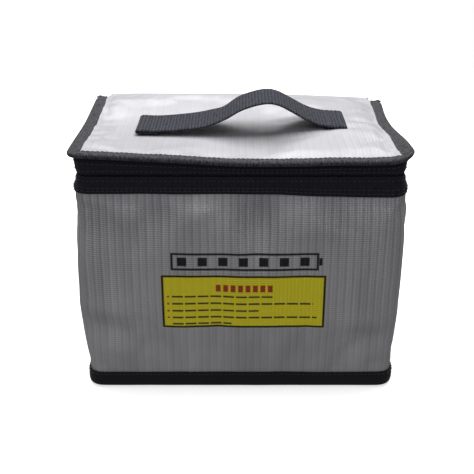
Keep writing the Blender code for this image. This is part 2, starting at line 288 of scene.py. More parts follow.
DENTS = [  # place along the wall, height, spread along, spread up, depth
    (-0.088, 0.047, 0.016, 0.010, -0.0024), (-0.084, 0.061, 0.020, 0.008, 0.0018),
    (0.083, 0.040, 0.013, 0.009, -0.0024), (0.081, 0.053, 0.018, 0.008, 0.0016),
    (-0.089, 0.121, 0.013, 0.014, -0.0022), (-0.072, 0.128, 0.012, 0.012, 0.0018),
    (0.092, 0.120, 0.010, 0.020, 0.0010), (-0.024, 0.131, 0.012, 0.008, 0.0034),
    (0.012, 0.124, 0.010, 0.018, -0.0034), (0.045, 0.126, 0.016, 0.014, 0.0018),
    (-0.052, 0.128, 0.010, 0.014, -0.0020),
]


def wall_swell(s, z):
    """How far the cloth stands out of the flat wall. It is fullest in its upper half."""
    up = min(max((z - band_top + 0.001) / (wall_top - band_top - 0.001), 0), 1)
    rise = math.sin(math.pi * up ** 1.25)
    along = abs(s)
    if along < front_turned:
        across = 1 - 0.25 * (along / front_turned) ** 6
    else:
        across = 1 - 0.25 * (2 * abs((along - front_turned) / (side_end - front_turned) - 0.5)) ** 6
    folds = 0.0010 * ripple(s * 28, z * 7, 3.1) + 0.0006 * ripple(s * 70, z * 14, 8.4)
    gathered = smooth_step(z, wall_top - 0.045, wall_top - 0.006)
    gathered *= 1 - 0.7 * smooth_step(z, wall_top - 0.006, wall_top)
    folds += 0.0007 * gathered * ripple(s * 95, z * 10, 5.9)
    dents = sum(depth * math.exp(-((s - at) / wide) ** 2 - ((z - height) / tall) ** 2)
                for at, height, wide, tall, depth in DENTS)
    loose = 1 - smooth_step(along, side_end - 0.010, wrap_end)
    top = 0.0014 * smooth_step(z, wall_top - 0.035, wall_top) * loose
    under_the_back = UNDER_THE_BACK * smooth_step(along, side_end, wrap_end - 0.001)
    return (WALL_BULGE * rise * across + (folds + dents) * min(1, 4 * rise)) * loose + top - under_the_back


wall_end = wrap_end + SEAM_TURN
case_walls = flat_strip("case_walls", -wall_end, wall_end, WALL_FOOT, wall_top + 0.0015, WALL_CELL)
move_points(case_walls, lambda p: Vector((*round_the_case(p.x, wall_swell(p.x, p.z)), p.z)))
sewn = [v.index for v in case_walls.data.vertices
        if v.co.z < band_top + 0.0002 or v.co.z > wall_top - 0.0045 or v.co.y > half_depth - 0.0016]
settle_cloth(case_walls, sewn, pressure=0.8, frames=16, spare=0.008, reach=0.0030)
thicken(case_walls, CLOTH_THICKNESS)

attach(case_walls, "case")
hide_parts("outer_wall")


def waves(tree, value, pitch):
    """Even waves from -1 to 1, one in each pitch."""
    turns = add_node(tree, "Math", {0: value, 1: 2 * math.pi / pitch}, operation="MULTIPLY")
    return add_node(tree, "Math", {0: turns}, operation="SINE")


def cloth_axes(tree):
    """The piece's own UV map, in metres, and its two directions."""
    position = add_node(tree, "UVMap")
    along = add_node(tree, "SeparateXYZ", {"Vector": position})
    return position, along, along.node.outputs["Y"]


def speckle(tree, position, scale, detail=3.0):
    """Noise from 0 to 1 over the cloth. The scale is a number, or one for each direction, per metre."""
    scale = (scale, scale, scale) if isinstance(scale, (int, float)) else scale
    place = add_node(tree, "Mapping", {"Vector": position, "Scale": scale})
    return add_node(tree, "TexNoise", {"Vector": place, "Scale": 1.0, "Detail": detail})


RIB_PITCH = 0.00245
WEFT_PITCH = 0.00145
RIB_DRIFT = 0.0011
PAINTED_SHEEN_SPOTS = [  # along, height, size, strength: painted highlights where the wall bulges, painted shade in its hollows
    (-0.024, 0.136, 0.024, 0.50), (0.008, 0.137, 0.022, -0.40), (0.032, 0.132, 0.018, 0.22),
    (-0.088, 0.130, 0.020, -0.25), (-0.070, 0.136, 0.014, 0.25),
]


def silver_coated_cloth(name, rib_depth, worn):
    """Glass cloth, woven and then coated with silver polyurethane.

    It gives the eye fine raised ribs and weft, a satin sheen, and painted highlights and painted shade, paler
    on the bulges and darker in the hollows of the upper front wall. The ribs are drawn about twice as far
    apart as real ones, so that they show, and fade towards the base.
    """
    material, tree, shader = new_material(name)
    position, along, up = cloth_axes(tree)
    drift = speckle(tree, position, (90, 22, 1))
    wander = add_node(tree, "Math", {0: drift, 1: RIB_DRIFT, 2: along}, operation="MULTIPLY_ADD")
    wide = add_node(tree, "Math", {0: waves(tree, wander, 2 * RIB_PITCH), 1: 0.5}, operation="MULTIPLY")
    ribs = waves(tree, wander, RIB_PITCH)
    ribs = add_node(tree, "Math", {0: ribs, 1: 0.5, 2: wide}, operation="MULTIPLY_ADD")
    weft = waves(tree, up, WEFT_PITCH)
    weave = add_node(tree, "Math", {0: weft, 1: 0.4, 2: ribs}, operation="MULTIPLY_ADD")
    crispness = add_node(tree, "MapRange", {0: up, 1: 0.025, 2: 0.120, 3: 0.45, 4: 1.15})
    weave = add_node(tree, "Math", {0: weave, 1: crispness}, operation="MULTIPLY")
    threads = add_node(tree, "Math", {0: weave, 1: 0.22 * rib_depth}, operation="MULTIPLY")
    streaks = speckle(tree, position, (75, 8, 1), 4.0)
    tone = add_node(tree, "Math", {0: streaks, 1: worn, 2: threads}, operation="MULTIPLY_ADD")
    clouds = speckle(tree, position, (20, 11, 1), 2.0)
    tone = add_node(tree, "Math", {0: clouds, 1: 0.6 * worn, 2: tone}, operation="MULTIPLY_ADD")
    tone = add_node(tree, "Math", {0: tone, 1: 0.8 * worn}, operation="SUBTRACT")
    # Painted highlights and painted shade: each spot makes the cloth paler or darker round one place, scaled
    # by worn.
    for spot_x, spot_z, size, strength in PAINTED_SHEEN_SPOTS:
        spot_centre = (spot_x, spot_z, 0)
        away = add_node(tree, "VectorMath", {0: position, 1: spot_centre}, "Value", operation="DISTANCE")
        painted_light = add_node(tree, "MapRange", {0: away, 1: 0.0, 2: size, 3: strength * worn, 4: 0.0})
        tone = add_node(tree, "Math", {0: tone, 1: painted_light}, operation="ADD")
    pale = add_node(tree, "MapRange", {0: tone, 1: -0.4, 2: 0.4, 3: 0.0, 4: 1.0})
    silver = {0: pale, 6: linear("#929197"), 7: linear("#c4c3c6")}
    colour = add_node(tree, "Mix", silver, 2, data_type="RGBA")
    dullness = add_node(tree, "MapRange", {0: tone, 1: -0.4, 2: 0.4, 3: 0.56, 4: 0.38})
    bump = add_node(tree, "Bump", {"Height": weave, "Strength": rib_depth, "Distance": 0.0003})
    fill(tree, shader, {"Normal": bump, "Base Color": colour, "Roughness": dullness, "Metallic": 0.22})
    return material, tree, shader, colour


# The print on the front is a plain drawing of a battery above a yellow panel of bars and dots: no words.
INK = "#0c0b0d"
PANEL_YELLOW = "#f2e422"
HEADING_RED = "#b23c1c"
ROW_INK = "#3b351a"
PRINT_EDGE = 0.0003
PRINT_WANDER = 0.0012


def box_mask(tree, along, up, left, right, low, high):
    """1 inside the rectangle and 0 outside, with a soft printed edge."""
    past = []
    for axis, start, end in ((along, left, right), (up, low, high)):
        offset = add_node(tree, "Math", {0: axis, 1: (start + end) / 2}, operation="SUBTRACT")
        distance = add_node(tree, "Math", {0: offset}, operation="ABSOLUTE")
        past.append(add_node(tree, "Math", {0: distance, 1: (end - start) / 2}, operation="SUBTRACT"))
    outside = add_node(tree, "Math", {0: past[0], 1: past[1]}, operation="MAXIMUM")
    return add_node(tree, "MapRange", {0: outside, 1: -PRINT_EDGE, 2: PRINT_EDGE, 3: 1.0, 4: 0.0})


PANEL = (-0.0512, 0.0550, 0.0493, 0.0880)
PANEL_LINE = 0.0015
BATTERY = (-0.0447, 0.0500, 0.0915, 0.1035)
BATTERY_LINE = 0.0015
BATTERY_CELLS = 7
ROWS = [  # height, end
    (0.0727, 0.0208), (0.0675, 0.0472), (0.0623, 0.0118), (0.0572, 0.0498), (0.0524, -0.0059),
]
ROW_START = -0.0445
ROW_TALL = 0.0013
DASH_PITCH = 0.0083
DOT_PLACE = -0.0470
DOT_HALF = 0.0007
HEADING_START = -0.0160
HEADING_PITCH = 0.0048

printed_cloth, tree, shader, print_colour = silver_coated_cloth("printed_silver_coated_glass_cloth", 1.0, 0.8)
position, along, up = cloth_axes(tree)
wander = speckle(tree, position, (22, 12, 1), 1.0)
wander = add_node(tree, "MapRange", {0: wander, 1: 0.0, 2: 1.0, 3: -PRINT_WANDER, 4: PRINT_WANDER})
up = add_node(tree, "Math", {0: up, 1: wander}, operation="ADD")


def ink(under, colour, masks):
    """Prints one colour over what is there, wherever any of the masks is 1."""
    cover = masks[0]
    for mask in masks[1:]:
        cover = add_node(tree, "Math", {0: cover, 1: mask}, operation="MAXIMUM")
    return add_node(tree, "Mix", {0: cover, 6: under, 7: linear(colour)}, 2, data_type="RGBA")


def frame_mask(left, right, low, high, line):
    """The outline of a rectangle."""
    inner = box_mask(tree, along, up, left + line, right - line, low + line, high - line)
    outer = box_mask(tree, along, up, left, right, low, high)
    return add_node(tree, "Math", {0: outer, 1: inner}, operation="SUBTRACT")


left, right, low, high = BATTERY
cell = (right - left - 2 * BATTERY_LINE) / BATTERY_CELLS
first = left + BATTERY_LINE
cells = [box_mask(tree, along, up, first + (i + 0.20) * cell, first + (i + 0.66) * cell,
                  low + 0.0030, high - 0.0030)
         for i in range(BATTERY_CELLS)]
terminal = box_mask(tree, along, up, right, right + 0.0022, low + 0.0034, high - 0.0034)
print_colour = ink(print_colour, INK, [frame_mask(left, right, low, high, BATTERY_LINE), terminal] + cells)

print_colour = ink(print_colour, PANEL_YELLOW, [box_mask(tree, along, up, *PANEL)])
print_colour = ink(print_colour, INK, [frame_mask(*PANEL, PANEL_LINE)])
starts = [HEADING_START + HEADING_PITCH * i for i in range(8)]
heading = [box_mask(tree, along, up, start, start + 0.0032, 0.0762, 0.0812) for start in starts]
print_colour = ink(print_colour, HEADING_RED, heading)
from_start = add_node(tree, "Math", {0: along, 1: ROW_START}, operation="SUBTRACT")
from_start = add_node(tree, "Math", {0: from_start, 1: 1 / DASH_PITCH}, operation="MULTIPLY")
from_start = add_node(tree, "Math", {0: from_start}, operation="FRACT")
dashes = add_node(tree, "Math", {0: from_start, 1: 0.86}, operation="LESS_THAN")
rows = [box_mask(tree, along, up, ROW_START, end, height - ROW_TALL / 2, height + ROW_TALL / 2)
        for height, end in ROWS]
rows = [add_node(tree, "Math", {0: dashes, 1: row}, operation="MULTIPLY") for row in rows]
print_colour = ink(print_colour, ROW_INK, rows)
dots = [box_mask(tree, along, up, DOT_PLACE - DOT_HALF, DOT_PLACE + DOT_HALF,
                 height - DOT_HALF, height + DOT_HALF)
        for height, end in ROWS[:4]]
print_colour = ink(print_colour, HEADING_RED, dots)
fill(tree, shader, {"Base Color": print_colour})
case_walls.data.materials.append(printed_cloth)


# ---------------------------------------------------------------------------------------------------------
# Lid and back. One continuous length of the same silver cloth: it is the lid's top, folds over at the back
# and runs down as the back wall. The lid has no stiffener, so it sags, and its front corners are pulled up.
# ---------------------------------------------------------------------------------------------------------
FOLD_RADIUS = 0.0024
LID_HALF_WIDTH = 0.1012
BACK_HALF_WIDTH = 0.0974
LID_CLOTH_FRONT = -0.0690
LID_CELL = 0.0028
RIGHT_PINCH = 0.0040

fold_quarter = FOLD_RADIUS * math.pi / 2
back_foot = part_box("back_panel")[0].z
down_the_back = case_top - FOLD_RADIUS - back_foot + fold_quarter / 2
over_the_lid = half_depth - FOLD_RADIUS - LID_CLOTH_FRONT + fold_quarter / 2


def through(points, x):
    """The height at x of a smooth line through the points, which are (x, height)."""
    i = max([0] + [j for j in range(len(points) - 1) if points[j][0] <= x])
    (x0, h0), (x1, h1) = points[i], points[i + 1]
    before, after = points[max(i - 1, 0)], points[min(i + 2, len(points) - 1)]
    rise0 = (h1 - before[1]) / (x1 - before[0]) * (x1 - x0)
    rise1 = (after[1] - h0) / (after[0] - x0) * (x1 - x0)
    t = min(max((x - x0) / (x1 - x0), 0), 1)
    return (h0 * (1 + 2 * t) * (1 - t) ** 2 + h1 * t * t * (3 - 2 * t)
            + rise0 * t * (1 - t) ** 2 - rise1 * t * t * (1 - t))


FRONT_LINE = [(-0.1075, 0.0015), (-0.095, 0.0008), (-0.075, -0.0002), (-0.040, -0.0020), (0.0, -0.0042),
              (0.035, -0.0042), (0.060, -0.0035), (0.085, -0.0034), (0.098, -0.0022), (0.1075, 0.0024)]
MIDDLE_LINE = [(-0.1075, -0.0010), (-0.070, -0.0036), (-0.030, -0.0036), (0.020, -0.0030), (0.060, -0.0008),
               (0.075, -0.0003), (0.1075, -0.0022)]
BACK_LINE = [(-0.1075, 0.0010), (-0.070, 0.0014), (0.030, 0.0006), (0.080, -0.0012), (0.1075, -0.0026)]


def lid_rise(x, y):
    """How far the soft lid stands above its flat shape, or below it where this is negative."""
    front, middle, back = through(FRONT_LINE, x), through(MIDDLE_LINE, x), through(BACK_LINE, x)
    if y < 0.004:
        return middle + (front - middle) * smooth_step(-y, -0.004, 0.068)
    return middle + (back - middle) * smooth_step(y, 0.004, 0.0660)


def shape_lid(point, share=1.0):
    """Moves a point of the flat lid to where the soft lid has it. Its right edge is drawn in."""
    pinch = RIGHT_PINCH * math.exp(-((point.y - 0.014) / 0.046) ** 2) * smooth_step(point.x, 0.03, 0.10)
    return point + Vector((-pinch, 0, lid_rise(point.x, point.y))) * share


CREASES = [  # start at the binding, direction in degrees, length, width, height
    (-0.099, 0.055, -10, 0.026, 0.0040, 0.0007), (-0.099, 0.036, -4, 0.030, 0.0034, 0.0008),
    (-0.099, 0.020, 3, 0.022, 0.0030, 0.0007), (-0.099, 0.007, 8, 0.018, 0.0026, 0.0006),
    (-0.099, -0.007, 12, 0.021, 0.0030, 0.0008), (-0.099, -0.020, 20, 0.018, 0.0026, 0.0007),
    (-0.098, -0.034, 26, 0.026, 0.0030, 0.0008), (-0.096, -0.050, 32, 0.030, 0.0034, 0.0006),
    (-0.060, -0.064, 68, 0.014, 0.0040, 0.0004), (0.030, -0.064, 110, 0.015, 0.0050, 0.0005),
    (0.095, 0.004, 172, 0.018, 0.0030, 0.0007), (0.095, -0.012, 165, 0.022, 0.0034, 0.0007),
    (0.095, 0.026, 186, 0.020, 0.0032, 0.0005), (0.097, -0.034, 150, 0.024, 0.0036, 0.0006),
]


def crease_height(x, y):
    """The soft wrinkles that run inwards from the bindings, where the seam has gathered the cloth."""
    total = 0.0
    for start_x, start_y, degrees, length, width, height in CREASES:
        angle = math.radians(degrees)
        along = (x - start_x) * math.cos(angle) + (y - start_y) * math.sin(angle)
        across = -(x - start_x) * math.sin(angle) + (y - start_y) * math.cos(angle)
        fade = math.exp(-max(along, 0) / length) * smooth_step(along, -0.001, 0.006)
        wide = width * (1 + max(along, 0) / length)
        ridge = math.exp(-(across / wide) ** 2)
        hollow = 0.7 * math.exp(-((across - 1.5 * wide) / wide) ** 2)
        total += height * fade * (ridge - hollow)
    return total


def lid_and_back_place(point):
    """Takes a point of the flat cloth over the lid, round the fold and down the back."""
    side, along = point.x, point.z
    if along >= fold_quarter / 2:
        y = half_depth - FOLD_RADIUS - (along - fold_quarter / 2)
        near_fold = smooth_step(y, 0.0590, 0.0680)
        x = side * (1 + (BACK_HALF_WIDTH / LID_HALF_WIDTH - 1) * near_fold)
        wrinkles = crease_height(x, y) + 0.0004 * ripple(x * 30, y * 30, 5.2)
        wrinkles *= smooth_step(0.068 - y, 0, 0.012)
        tucked = 0.0005 * max(smooth_step(abs(x), 0.088, 0.096), smooth_step(-y, 0.055, 0.063))
        return shape_lid(Vector((x, y, case_top + wrinkles - tucked)))
    x = side * BACK_HALF_WIDTH / LID_HALF_WIDTH
    if along > -fold_quarter / 2:
        turn = (fold_quarter / 2 - along) / FOLD_RADIUS
        y = half_depth - FOLD_RADIUS + FOLD_RADIUS * math.sin(turn)
        z = case_top - FOLD_RADIUS + FOLD_RADIUS * math.cos(turn)
    else:
        y, z = half_depth, case_top - FOLD_RADIUS - (-along - fold_quarter / 2)
    slack = math.sin(math.pi * min(max((z - back_foot) / (case_top - 0.012 - back_foot), 0), 1))
    y += (0.0012 + 0.0008 * ripple(x * 25, z * 12, 1.7)) * slack * (1 - (x / BACK_HALF_WIDTH) ** 8)
    return Vector((x, y, z + through(BACK_LINE, x) * smooth_step(z, 0.100, case_top)))


lid_and_back = flat_strip("lid_and_back", -LID_HALF_WIDTH, LID_HALF_WIDTH, -down_the_back, over_the_lid,
                          LID_CELL)
bpy.ops.object.mode_set(mode="EDIT")
for row in range(-8, 9):
    bpy.ops.mesh.select_all(action="SELECT")
    bpy.ops.mesh.bisect(plane_co=(0, 0, row * 0.0006), plane_no=(0, 0, 1))
bpy.ops.object.mode_set(mode="OBJECT")
edge_x = LID_HALF_WIDTH - LID_CELL * 1.2
sewn = [v.index for v in lid_and_back.data.vertices
        if abs(v.co.x) > edge_x or v.co.z > over_the_lid - 0.004 or v.co.z < 0.008]
move_points(lid_and_back, lid_and_back_place)
settle_cloth(lid_and_back, sewn, pressure=-0.15, frames=14, spare=0.010, reach=0.0016)
thicken(lid_and_back, CLOTH_THICKNESS)

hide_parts("lid_panel", "hinge_fold", "back_panel")
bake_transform(lid_and_back)
lid_and_back.data.materials.append(silver_coated_cloth("silver_coated_glass_cloth", 0.2, 0.4)[0])


# ---------------------------------------------------------------------------------------------------------
# Lid binding. A black ribbed tape folded over the lid's left, front and right edges and sewn through. It
# makes a round, firm edge, puckers a little along the seam, and stops short of the fold at the back.
# ---------------------------------------------------------------------------------------------------------
BINDING_THICKNESS = 0.0007
BINDING_ROLL = 0.0017
BINDING_UNDER = 0.0036
BINDING_WIDTH = 0.0088
LID_CORNER_RADIUS = 0.0072

binding_low, binding_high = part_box("lid_binding")
LID_OUTLINE = (binding_high.x, binding_low.y, LID_CORNER_RADIUS, binding_high.y, 0.0)
binding_end = corner_lengths(LID_OUTLINE)[2]
binding_flat = BINDING_WIDTH - BINDING_ROLL
binding_across = binding_flat + math.pi * BINDING_ROLL + BINDING_UNDER


def binding_surface(s, t, lift=0.0):
    """A point of the tape's face: s along the lid's edge, and t across it from its inner edge on top."""
    middle = binding_high.z - BINDING_ROLL
    if t < binding_flat:
        pucker = 0.0009 * ripple(s * 75, 0, 2.2) + 0.0007 * ripple(s * 30, 0, 6.1)
        inner = 1 - t / binding_flat
        out, z = t - BINDING_WIDTH + pucker * inner, middle + BINDING_ROLL + lift
        z += 0.0004 * ripple(s * 150, t * 200, 4.4) * math.sin(math.pi * inner)
        z -= 0.0004 * inner ** 3
    elif t < binding_flat + math.pi * BINDING_ROLL:
        turn = (t - binding_flat) / BINDING_ROLL
        out = -BINDING_ROLL + (BINDING_ROLL + lift) * math.sin(turn)
        z = middle + (BINDING_ROLL + lift) * math.cos(turn)
    else:
        out, z = binding_flat + math.pi * BINDING_ROLL - t - BINDING_ROLL, middle - BINDING_ROLL - lift
    x, y = round_the_case(s, out, LID_OUTLINE)
    turned_in = 0.0035 * smooth_step(y, 0.056, 0.0665)
    x -= math.copysign(turned_in, x) * smooth_step(out, -0.009, 0)
    return shape_lid(Vector((x, y, z)))


lid_binding = flat_strip("lid_edge_binding", -binding_end, binding_end, 0, binding_across, 0.0024, rows=14)
move_points(lid_binding, lambda p: binding_surface(p.x, p.z))
lid_binding.data.flip_normals()
thicken(lid_binding, BINDING_THICKNESS)

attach(lid_binding, "lid")
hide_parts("lid_binding")

BINDING_RIB = 0.0009


def ribbed_tape(name, dark, light, rib, strength, roughness):
    """Black polyester grosgrain, woven with close ribs across it. They give a dull face with a grey bloom."""
    material, tree, shader = new_material(name)
    position, along, across = cloth_axes(tree)
    ribs = waves(tree, along, rib)
    fine = waves(tree, across, rib * 0.8)
    threads = add_node(tree, "Math", {0: fine, 1: 0.5, 2: ribs}, operation="MULTIPLY_ADD")
    fibres = speckle(tree, position, (700, 350, 1), 2.0)
    tone = add_node(tree, "Math", {0: threads, 1: 0.14, 2: fibres}, operation="MULTIPLY_ADD")
    tone = add_node(tree, "MapRange", {0: tone, 1: 0.32, 2: 0.68, 3: 0.0, 4: 1.0})
    colour = add_node(tree, "Mix", {0: tone, 6: linear(dark), 7: linear(light)}, 2, data_type="RGBA")
    bump = add_node(tree, "Bump", {"Height": threads, "Strength": strength, "Distance": 0.00015})
    fill(tree, shader, {"Base Color": colour, "Normal": bump, "Roughness": roughness,
                        "Specular IOR Level": 0.25, "Sheen Weight": 0.06, "Sheen Roughness": 0.5})
    return material


grosgrain = ribbed_tape("black_grosgrain_tape", "#121214", "#55555b", BINDING_RIB, 0.9, 0.75)
lid_binding.data.materials.append(grosgrain)


# ---------------------------------------------------------------------------------------------------------
# Zip tapes. Two black woven tapes, one sewn under the lid's edge and one along the top of the walls. They
# meet edge to edge, because the coil is on the inside, and each bellies out between its two seams.
# ---------------------------------------------------------------------------------------------------------
TAPE_THICKNESS = 0.0008
TAPE_CELL = 0.0026
TAPE_RECESS = 0.0002
LOBE = 0.0009
EDGE_DIP = 0.0002
TAPE_CLOSING = 0.0005

lid_tape_low, lid_tape_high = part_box("lid_zip_tape")
body_tape_low, body_tape_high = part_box("body_zip_tape")
lid_tape_end = front_turned + lid_tape_high.y - (-half_depth + FRONT_RADIUS)


def tape_swell(s, from_chain, height):
    """How far a zip tape stands out. Round both sides it stays flat near the chain, where the sliders run."""
    on_front = 1 - smooth_step(abs(s), front_turned + 0.0005, front_turned + 0.0040)
    near = LOBE * on_front * math.sin(math.pi * min(max(from_chain / height, 0), 1)) ** 0.7
    away = smooth_step(from_chain, 0.0044, 0.0075) * (1 - 0.5 * smooth_step(from_chain, 0.0085, height))
    away *= 1 - smooth_step(abs(s), side_end - 0.018, side_end - 0.008)
    far = LOBE * (1.5 - on_front) * away + 0.0003 * ripple(s * 30, from_chain * 60, 9.3) * away
    return near + far - TAPE_RECESS - EDGE_DIP * math.exp(-from_chain / 0.0008)


def chain_closing(s, from_chain):
    """How far a tape's edge reaches towards the other tape's. On the right the sliders need more room."""
    zipped = 1 - smooth_step(s, front_end, front_turned + 0.0010)
    zipped *= 1 - smooth_step(abs(s), side_end - 0.004, side_end)
    return TAPE_CLOSING * (1 - smooth_step(from_chain, 0.0, 0.0050)) * zipped


def lid_tape_surface(s, z, lift=0.0):
    """A point of the lid's zip tape: s along the case's outline, at height z while the lid is flat."""
    height = lid_tape_high.z - lid_tape_low.z
    from_chain = z - lid_tape_low.z
    x, y = round_the_case(s, tape_swell(s, from_chain, height) + lift)
    z -= 0.0008 * from_chain / height + chain_closing(s, from_chain)
    return shape_lid(Vector((x, y, z)), smooth_step(from_chain / height, 0.0, 1.0))


def body_tape_surface(s, z, lift=0.0):
    """A point of the wall's zip tape. Its foot lies over the walls, and its ends go under the back."""
    from_chain = body_tape_high.z - z
    out = tape_swell(s, from_chain, body_tape_high.z - body_tape_low.z)
    foot = smooth_step(from_chain, 0.0046, 0.0076)
    out += (max(wall_swell(s, wall_top - 0.001), 0) + 0.0007 + TAPE_RECESS - out) * foot
    tuck = smooth_step(abs(s), wrap_end - 0.0016, wrap_end - 0.0002)
    out -= (out + UNDER_THE_BACK) * tuck
    low_right = smooth_step(s, 0.0, 0.085) * (1 - smooth_step(s, 0.095, 0.125))
    slump = 0.0005 * ripple(s * 40, 0, 7.7) - 0.0022 * low_right
    z += slump * smooth_step(from_chain, 0.002, 0.0095) + chain_closing(s, from_chain)
    return Vector((*round_the_case(s, out + lift), z))


lid_zip_tape = flat_strip("lid_chain_tape", -lid_tape_end, lid_tape_end, lid_tape_low.z, lid_tape_high.z,
                          TAPE_CELL, rows=8)
move_points(lid_zip_tape, lambda p: lid_tape_surface(p.x, p.z))
thicken(lid_zip_tape, TAPE_THICKNESS)
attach(lid_zip_tape, "lid")
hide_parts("lid_zip_tape")

body_tape_foot = body_tape_low.z - 0.001
body_tape_end = wrap_end + 0.0025
body_zip_tape = flat_strip("body_chain_tape", -body_tape_end, body_tape_end, body_tape_foot, body_tape_high.z,
                           TAPE_CELL, rows=8)
move_points(body_zip_tape, lambda p: body_tape_surface(p.x, p.z))
thicken(body_zip_tape, TAPE_THICKNESS)
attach(body_zip_tape, "case")
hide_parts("body_zip_tape")

ZIP_TWILL = 0.0008
tape_cloth = ribbed_tape("black_polyester_zip_tape", "#0d0d19", "#191928", ZIP_TWILL, 0.35, 0.7)
lid_zip_tape.data.materials.append(tape_cloth)
body_zip_tape.data.materials.append(tape_cloth)


# ---------------------------------------------------------------------------------------------------------
# Base binding. A black tape sewn all round the foot of the walls, over the raw edges of the walls and floor.
# ---------------------------------------------------------------------------------------------------------
BASE_TAPE_OUT = 0.0011
BASE_TURN = 0.0012

base_low, base_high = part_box("base_binding")
half_loop = wrap_end + half_width - BACK_RADIUS


def base_surface(s, z, lift=0.0):
    """A point of the base tape: s along the case's outline, at height z. It turns in at its lower edge."""
    up = (z - base_low.z) / (base_high.z - base_low.z)
    out = BASE_TAPE_OUT + 0.0006 * math.sin(math.pi * min(max(up, 0), 1))
    out += 0.0003 * ripple(s * 40, z * 60, 2.9)
    out -= BASE_TURN * (1 - smooth_step(up, -0.02, 0.16)) ** 2
    top_wave = 0.0004 * ripple(s * 35, 0, 1.3) * smooth_step(up, 0.5, 1.0)
    return Vector((*round_the_case(s, out + lift), z + top_wave))


base_tape = flat_strip("base_edge_binding", -half_loop, half_loop, base_low.z, base_high.z, 0.0030, rows=8)
move_points(base_tape, lambda p: base_surface(p.x, p.z))
bpy.ops.object.mode_set(mode="EDIT")
bpy.ops.mesh.select_all(action="SELECT")
bpy.ops.mesh.remove_doubles(threshold=0.0002)
bpy.ops.object.mode_set(mode="OBJECT")
thicken(base_tape, TAPE_THICKNESS)
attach(base_tape, "case")
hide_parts("base_binding")
BASE_RIB = 0.0011
base_weave = ribbed_tape("black_polyester_base_tape", "#0b0a11", "#14131a", BASE_RIB, 0.5, 0.6)
base_tape.data.materials.append(base_weave)


# ---------------------------------------------------------------------------------------------------------
# Handle. One strap of black polyester webbing. Each end is folded under and sewn to the lid, and the rest
# stands up in an arch, a little to the right of the middle.
# ---------------------------------------------------------------------------------------------------------
STRAP_THICKNESS = 0.0016
STRAP_WIDTH = 0.0380
STRAP_Y = -0.0010
FOLD_UNDER = 0.0150
STRAP_CELL = 0.0018
STRAP_LINE = [  # x, height of the top face above the flat lid
    (-0.0695, 0.0001), (-0.058, -0.0004), (-0.041, 0.0008), (-0.024, 0.0033), (-0.010, 0.0088),
    (0.000, 0.0146), (0.012, 0.0186), (0.020, 0.0194), (0.026, 0.0180), (0.034, 0.0138), (0.042, 0.0093),
    (0.050, 0.0059), (0.059, 0.0040), (0.0705, 0.0036),
]
TURN_RADIUS = 0.52 * STRAP_THICKNESS


def strap_route():
    """The middle of the strap's thickness, as (x, height above the flat lid), from one end to the other."""
    left, right = STRAP_LINE[0][0], STRAP_LINE[-1][0]
    steps = round((right - left) / 0.0010)
    places = [left + (right - left) * i / steps for i in range(steps + 1)]
    over = [(x, through(STRAP_LINE, x) - STRAP_THICKNESS / 2) for x in places]

    def folded(end, away):
        x, top = end
        bend = [(x + away * TURN_RADIUS * math.sin(a), top - TURN_RADIUS + TURN_RADIUS * math.cos(a))
                for a in (math.pi * i / 6 for i in range(1, 7))]
        under = [(x - away * FOLD_UNDER * i / 8, top - 2 * TURN_RADIUS) for i in range(1, 9)]
        return bend + under

    return folded(over[0], -1)[::-1] + over + folded(over[-1], 1)


route = strap_route()
reached = [0.0]
for here, there in zip(route, route[1:]):
    reached.append(reached[-1] + math.dist(here, there))
strap_length = reached[-1]


def strap_surface(s, across, lift=0.0):
    """A point of the strap's middle: s along it from one end, across it from its front edge."""
    i = min(max(sum(1 for r in reached if r <= s) - 1, 0), len(route) - 2)
    share = min(max((s - reached[i]) / (reached[i + 1] - reached[i]), 0), 1)
    x = route[i][0] + (route[i + 1][0] - route[i][0]) * share
    height = route[i][1] + (route[i + 1][1] - route[i][1]) * share
    run = Vector((route[i + 1][0] - route[i][0], 0, route[i + 1][1] - route[i][1])).normalized()
    out = Vector((-run.z, 0, run.x))
    y = STRAP_Y + across - STRAP_WIDTH / 2
    low = 1 - smooth_step(height, 0.001, 0.008)
    tilt = (lid_rise(x, y) - lid_rise(x, STRAP_Y)) * low
    kink = 0.0012 * smooth_step(y, 0.004, 0.018) * math.exp(-((x + 0.012) / 0.006) ** 2)
    return Vector((x, y, case_top + height + tilt - kink)) + out * lift


strap = flat_strip("carry_strap", 0, strap_length, 0, STRAP_WIDTH, STRAP_CELL, rows=12)
move_points(strap, lambda p: strap_surface(p.x, p.z))
thicken(strap, STRAP_THICKNESS, offset=0)
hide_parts("handle_strap", "handle_left_end", "handle_right_end")
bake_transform(strap)

WEBBING_RIB = 0.0022


def woven_webbing(name):
    """Black polyester webbing, woven from fat yarns. They give rows of small grains with a grey sheen on top.

    The grains are drawn about twice as big as real ones, so that they show.
    """
    material, tree, shader = new_material(name)
    position, along, across = cloth_axes(tree)
    rows = waves(tree, along, WEBBING_RIB)
    yarns = waves(tree, across, WEBBING_RIB * 1.8)
    yarns = add_node(tree, "Math", {0: yarns, 1: 0.5, 2: 0.6}, operation="MULTIPLY_ADD")
    weave = add_node(tree, "Math", {0: rows, 1: yarns}, operation="MULTIPLY")
    grain = speckle(tree, position, (420, 420, 1), 2.0)
    tone = add_node(tree, "Math", {0: weave, 1: 0.24, 2: grain}, operation="MULTIPLY_ADD")
    tone = add_node(tree, "MapRange", {0: tone, 1: 0.10, 2: 0.90, 3: 0.0, 4: 1.0})
    black = {0: tone, 6: linear("#07080a"), 7: linear("#4c4e58")}
    colour = add_node(tree, "Mix", black, 2, data_type="RGBA")
    bump = add_node(tree, "Bump", {"Height": weave, "Strength": 0.5, "Distance": 0.0002})
    fill(tree, shader, {"Base Color": colour, "Normal": bump, "Roughness": 0.8,
                        "Specular IOR Level": 0.08, "Sheen Weight": 0.04})
    return material


strap.data.materials.append(woven_webbing("black_polyester_webbing"))


